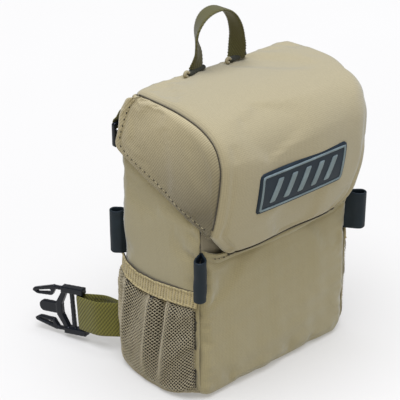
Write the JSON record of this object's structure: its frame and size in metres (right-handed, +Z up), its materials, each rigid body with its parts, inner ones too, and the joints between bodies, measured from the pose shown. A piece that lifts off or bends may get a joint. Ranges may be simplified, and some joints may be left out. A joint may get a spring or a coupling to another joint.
{
  "type": "binocular harness pack",
  "caption": "Padded chest pack for binoculars with hinged hood, front slip pocket, mesh side pockets, corner loops, carry loop and buckled harness straps.",
  "frame": {"origin": "middle of the pack's underside, on the surface it stands on", "axes": "+Z up; +Y out of the back, towards the wearer; +X to the right of someone looking at the front, which faces -Y"},
  "size_m": [0.1882, 0.1736, 0.243],
  "materials": {
    "hood_fabric": "matte",
    "wing_fabric": "matte",
    "side_fabric": "matte",
    "front_fabric": "matte",
    "base_fabric": "matte",
    "wall_fabric": "matte",
    "back_fabric": "matte",
    "back_mesh": "matte",
    "lining_fabric": "satin",
    "pocket_mesh": "matte",
    "elastic_band": "matte",
    "harness_webbing": "matte",
    "carry_webbing": "matte",
    "loop_rubber": "satin",
    "badge_rubber": "satin",
    "badge_paint": "satin",
    "buckle_plastic": "gloss",
    "foam": "matte",
    "stiffener_plastic": "matte",
    "magnet_steel": "satin"
  },
  "bodies": {
    "pack": {"base_panel": "base_fabric", "front_wall": "wall_fabric", "side_panel_left": "side_fabric", "side_panel_right": "side_fabric", "back_panel": "back_fabric", "back_pad": "back_mesh", "side_foam_left": "foam", "side_foam_right": "foam", "front_foam": "foam", "back_foam": "foam", "base_foam": "foam", "base_stiffener": "stiffener_plastic", "compartment_lining": "lining_fabric", "rim_magnets": "magnet_steel", "front_pocket_panel": "front_fabric", "front_pocket_hem": "front_fabric", "mesh_pocket_left": "pocket_mesh", "mesh_pocket_right": "pocket_mesh", "pocket_elastic_left": "elastic_band", "pocket_elastic_right": "elastic_band", "accessory_loop_front_left": "loop_rubber", "accessory_loop_front_right": "loop_rubber", "accessory_loop_back_left": "loop_rubber", "accessory_loop_back_right": "loop_rubber"},
    "hood": {"hood_shell": "hood_fabric", "hood_foam": "foam", "hood_lining": "lining_fabric", "hood_wing_left": "wing_fabric", "hood_wing_right": "wing_fabric", "hood_magnets": "magnet_steel", "badge_plate": "badge_rubber", "badge_relief": "badge_paint", "loop_keeper_left": "loop_rubber", "loop_keeper_right": "loop_rubber", "loop_tails": "carry_webbing"},
    "carry_loop": {"carry_loop": "carry_webbing"},
    "waist_strap_left": {"waist_webbing_left": "harness_webbing"},
    "waist_buckle_left": {"waist_buckle_frame_left": "buckle_plastic"},
    "prong_upper_left": {"buckle_prong_upper_left": "buckle_plastic"},
    "prong_lower_left": {"buckle_prong_lower_left": "buckle_plastic"},
    "shoulder_strap_left": {"shoulder_webbing_left": "harness_webbing"},
    "shoulder_lock_left": {"shoulder_ladder_left": "buckle_plastic"},
    "waist_strap_right": {"waist_webbing_right": "harness_webbing"},
    "waist_buckle_right": {"waist_buckle_frame_right": "buckle_plastic"},
    "prong_upper_right": {"buckle_prong_upper_right": "buckle_plastic"},
    "prong_lower_right": {"buckle_prong_lower_right": "buckle_plastic"},
    "shoulder_strap_right": {"shoulder_webbing_right": "harness_webbing"},
    "shoulder_lock_right": {"shoulder_ladder_right": "buckle_plastic"}
  },
  "joints": [
    {"name": "hood_hinge", "type": "hinge", "parent": "pack", "child": "hood", "pos_m": [0, 0.02, 0.2014], "axis": [-1, 0, 0], "range_deg": [0, 105]},
    {"name": "carry_loop_tilt", "type": "hinge", "parent": "hood", "child": "carry_loop", "pos_m": [-0.0024, 0.0164, 0.2071], "axis": [-1, 0, 0], "range_deg": [-75, 35], "stiffness_Nm_per_rad": 0.004},
    {"name": "waist_swing_left", "type": "hinge", "parent": "pack", "child": "waist_strap_left", "pos_m": [-0.068, 0.0428, 0.025], "axis": [0.0414, 0.1259, 0.9912], "range_deg": [-45, 40], "stiffness_Nm_per_rad": 0.02},
    {"name": "waist_buckle_pivot_left", "type": "hinge", "parent": "waist_strap_left", "child": "waist_buckle_left", "pos_m": [-0.07837, 0.0713, 0.02181], "axis": [0.0414, 0.1259, 0.9912], "range_deg": [-60, 60]},
    {"name": "prong_flex_upper_left", "type": "hinge", "parent": "waist_buckle_left", "child": "prong_upper_left", "pos_m": [-0.0831, 0.08803, 0.03562], "axis": [-0.9395, -0.3328, 0.0815], "range_deg": [0, 10], "stiffness_Nm_per_rad": 0.5},
    {"name": "prong_flex_lower_left", "type": "hinge", "parent": "waist_buckle_left", "child": "prong_lower_left", "pos_m": [-0.08439, 0.0841, 0.0047], "axis": [0.9395, 0.3328, -0.0815], "range_deg": [0, 10], "stiffness_Nm_per_rad": 0.5},
    {"name": "waist_swing_right", "type": "hinge", "parent": "pack", "child": "waist_strap_right", "pos_m": [0.068, 0.0428, 0.025], "axis": [0.0414, -0.1259, -0.9912], "range_deg": [-45, 40], "stiffness_Nm_per_rad": 0.02},
    {"name": "waist_buckle_pivot_right", "type": "hinge", "parent": "waist_strap_right", "child": "waist_buckle_right", "pos_m": [0.07837, 0.0713, 0.02181], "axis": [0.0414, -0.1259, -0.9912], "range_deg": [-60, 60]},
    {"name": "prong_flex_upper_right", "type": "hinge", "parent": "waist_buckle_right", "child": "prong_upper_right", "pos_m": [0.0831, 0.08803, 0.03562], "axis": [-0.9395, 0.3328, -0.0815], "range_deg": [0, 10], "stiffness_Nm_per_rad": 0.5},
    {"name": "prong_flex_lower_right", "type": "hinge", "parent": "waist_buckle_right", "child": "prong_lower_right", "pos_m": [0.08439, 0.0841, 0.0047], "axis": [0.9395, -0.3328, 0.0815], "range_deg": [0, 10], "stiffness_Nm_per_rad": 0.5},
    {"name": "shoulder_swing_left", "type": "hinge", "parent": "pack", "child": "shoulder_strap_left", "pos_m": [-0.049, 0.0332, 0.184], "axis": [1, 0, 0], "range_deg": [0, 60], "stiffness_Nm_per_rad": 0.02},
    {"name": "ladder_pivot_left", "type": "hinge", "parent": "shoulder_strap_left", "child": "shoulder_lock_left", "pos_m": [-0.049, 0.04813, 0.16853], "axis": [1, 0, 0], "range_deg": [-8, 85]},
    {"name": "shoulder_swing_right", "type": "hinge", "parent": "pack", "child": "shoulder_strap_right", "pos_m": [0.049, 0.0332, 0.184], "axis": [1, 0, 0], "range_deg": [0, 60], "stiffness_Nm_per_rad": 0.02},
    {"name": "ladder_pivot_right", "type": "hinge", "parent": "shoulder_strap_right", "child": "shoulder_lock_right", "pos_m": [0.049, 0.04813, 0.16853], "axis": [1, 0, 0], "range_deg": [-8, 85]}
  ]
}
